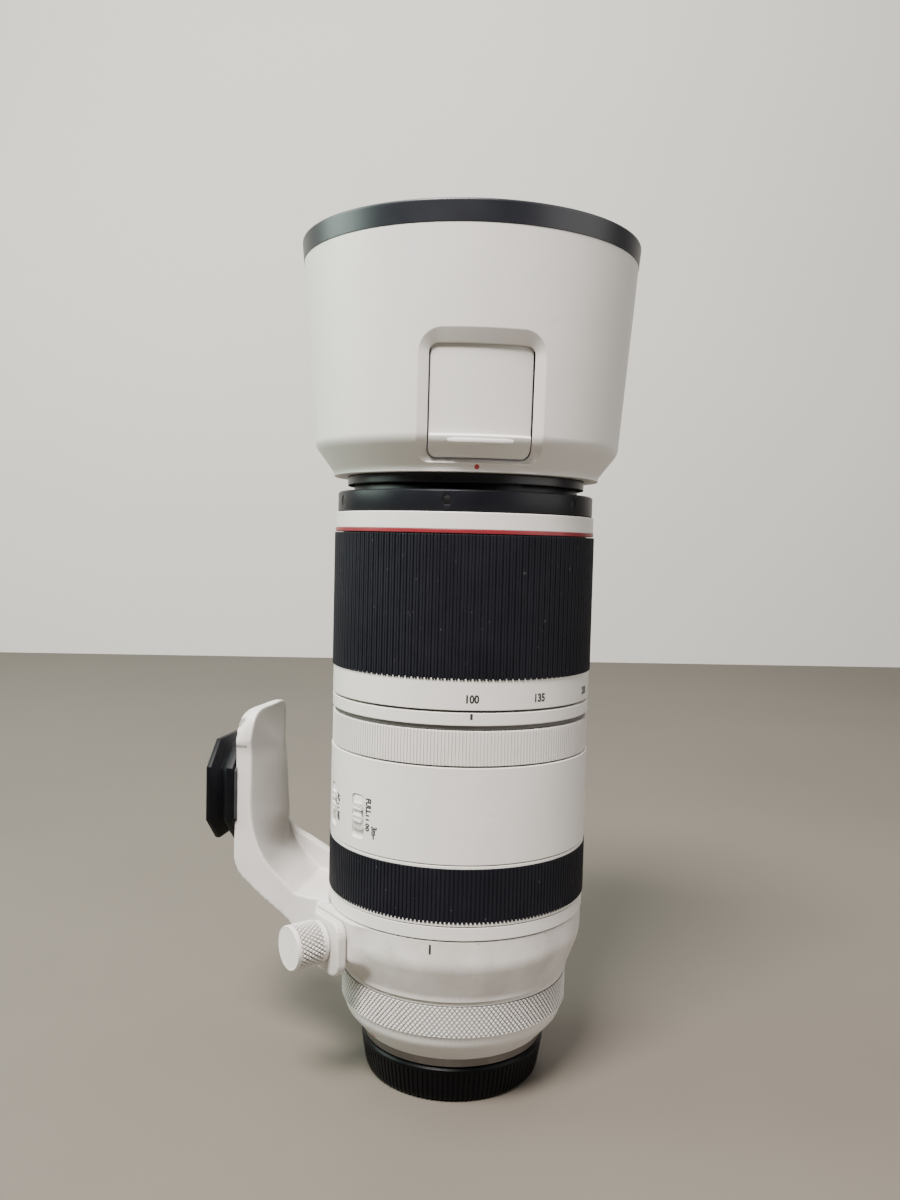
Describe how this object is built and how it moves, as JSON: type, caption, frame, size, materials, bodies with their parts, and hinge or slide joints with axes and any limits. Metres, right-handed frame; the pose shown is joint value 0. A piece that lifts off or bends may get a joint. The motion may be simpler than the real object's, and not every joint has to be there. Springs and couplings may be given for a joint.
{
  "type": "telephoto_zoom_lens",
  "caption": "White telephoto zoom lens standing on its rear cap, with hood, tripod foot and a quick release plate",
  "frame": {"origin": "centre of the rear cap's underside, on the table", "axes": "+Z along the optical axis towards the front; -Y towards the zoom index line; +X to the right as seen from the index line"},
  "size_m": [0.1533, 0.12, 0.2991],
  "materials": {
    "white_paint": "satin",
    "switch_plastic": "satin",
    "hood_paint": "satin",
    "black_plastic": "matte",
    "cap_plastic": "gloss",
    "black_paint": "satin",
    "grip_rubber": "matte",
    "steel": "satin",
    "brass": "satin",
    "red_paint": "satin",
    "board_green": "satin",
    "lens_glass": "polished"
  },
  "bodies": {
    "barrel": {"mount_ring": "steel", "mount_screws": "steel", "contact_block": "black_plastic", "contact_pins": "brass", "rear_barrel": "white_paint", "core_barrel": "black_paint", "main_board": "board_green", "rear_cell": "black_paint", "rear_lenses": "lens_glass", "shoulder_ring": "white_paint", "guide_rods": "steel", "focus_motors": "steel", "iris_housing": "black_plastic", "iris_blades": "steel", "stabilizer_housing": "black_plastic", "body_shell": "white_paint", "switch_board": "board_green", "index_ring": "white_paint", "guide_barrel": "black_paint", "inner_guide": "black_paint", "red_ring": "red_paint", "name_ring": "white_paint"},
    "cap": {"rear_cap": "cap_plastic"},
    "control": {"control_ring": "white_paint"},
    "collar": {"tripod_ring": "white_paint", "tripod_foot": "white_paint", "plate_pad": "grip_rubber", "foot_plate": "black_paint", "plate_screw": "steel"},
    "knob": {"clamp_knob": "white_paint"},
    "focus": {"focus_ring": "white_paint", "focus_rubber": "grip_rubber"},
    "rear_focus": {"rear_focus_cell": "black_plastic", "rear_focus_lens": "lens_glass"},
    "front_focus": {"front_focus_cell": "black_plastic", "front_focus_lens": "lens_glass"},
    "stabilizer": {"stabilizer_cell": "black_plastic", "stabilizer_lens": "lens_glass"},
    "range_slider": {"range_switch": "switch_plastic"},
    "focus_mode_slider": {"focus_mode_switch": "switch_plastic"},
    "stabilizer_slider": {"stabilizer_switch": "switch_plastic"},
    "stabilizer_mode_slider": {"stabilizer_mode_switch": "switch_plastic"},
    "tension": {"tension_ring": "white_paint"},
    "zoom": {"zoom_ring": "white_paint", "zoom_rubber": "grip_rubber", "cam_barrel": "black_paint", "drive_screws": "steel"},
    "zoom_group": {"zoom_cell": "black_plastic", "zoom_lenses": "lens_glass"},
    "front": {"extension_tube": "white_paint", "follower_pins": "brass", "front_cell": "black_paint", "front_lenses": "lens_glass", "front_bezel": "black_paint", "bezel_screws": "black_paint"},
    "hood": {"hood_shell": "hood_paint", "hood_rim": "grip_rubber", "hood_liner": "black_plastic"},
    "door": {"hood_door": "hood_paint"},
    "button": {"hood_button": "hood_paint"}
  },
  "joints": [
    {"name": "cap_twist", "type": "hinge", "parent": "barrel", "child": "cap", "pos_m": [0, 0, 0.0065], "axis": [0, 0, 1], "range_deg": [0, 60]},
    {"name": "control_turn", "type": "hinge", "parent": "barrel", "child": "control", "pos_m": [0, 0, 0.03315], "axis": [0, 0, 1], "continuous": true},
    {"name": "collar_turn", "type": "hinge", "parent": "barrel", "child": "collar", "pos_m": [0, 0, 0.05145], "axis": [0, 0, 1], "continuous": true},
    {"name": "knob_turn", "type": "hinge", "parent": "collar", "child": "knob", "pos_m": [-0.0541, -0.02528, 0.0538], "axis": [-0.8499, -0.527, 0], "range_deg": [0, 270]},
    {"name": "focus_turn", "type": "hinge", "parent": "barrel", "child": "focus", "pos_m": [0, 0, 0.0782], "axis": [0, 0, 1], "continuous": true},
    {"name": "rear_focus_slide", "type": "slide", "parent": "barrel", "child": "rear_focus", "axis": [0, 0, 1], "range_m": [0, 0.01]},
    {"name": "front_focus_slide", "type": "slide", "parent": "barrel", "child": "front_focus", "axis": [0, 0, 1], "range_m": [0, 0.01]},
    {"name": "stabilizer_shift", "type": "slide", "parent": "barrel", "child": "stabilizer", "axis": [1, 0, 0], "range_m": [-0.0008, 0.0008]},
    {"name": "range_slide", "type": "slide", "parent": "barrel", "child": "range_slider", "axis": [0, 0, -1], "range_m": [0, 0.0025]},
    {"name": "focus_mode_slide", "type": "slide", "parent": "barrel", "child": "focus_mode_slider", "axis": [0, 0, -1], "range_m": [0, 0.0025]},
    {"name": "stabilizer_switch_slide", "type": "slide", "parent": "barrel", "child": "stabilizer_slider", "axis": [0, 0, -1], "range_m": [0, 0.0025]},
    {"name": "stabilizer_mode_slide", "type": "slide", "parent": "barrel", "child": "stabilizer_mode_slider", "axis": [0, 0, -1], "range_m": [0, 0.005]},
    {"name": "tension_turn", "type": "hinge", "parent": "barrel", "child": "tension", "pos_m": [0, 0, 0.1272], "axis": [0, 0, 1], "range_deg": [0, 60]},
    {"name": "zoom_turn", "type": "hinge", "parent": "barrel", "child": "zoom", "pos_m": [0, 0, 0.1684], "axis": [0, 0, -1], "range_deg": [0, 115]},
    {"name": "zoom_group_slide", "type": "slide", "parent": "barrel", "child": "zoom_group", "axis": [0, 0, 1], "range_m": [0, 0.02801]},
    {"name": "front_slide", "type": "slide", "parent": "barrel", "child": "front", "axis": [0, 0, 1], "range_m": [0, 0.08601]},
    {"name": "hood_twist", "type": "hinge", "parent": "front", "child": "hood", "pos_m": [0, 0, 0.2161], "axis": [0, 0, 1], "range_deg": [0, 60]},
    {"name": "door_slide", "type": "slide", "parent": "hood", "child": "door", "axis": [0, -0.0828, 0.9966], "range_m": [0, 0.025]},
    {"name": "hood_button_push", "type": "slide", "parent": "hood", "child": "button", "axis": [0.854, 0, 0.5202], "range_m": [0, 0.0015], "stiffness_N_per_m": 400}
  ],
  "couplings": [
    {"joint": "front_slide", "follows": "zoom_turn", "m_per_rad": 0.042848},
    {"joint": "zoom_group_slide", "follows": "zoom_turn", "m_per_rad": 0.01395}
  ]
}
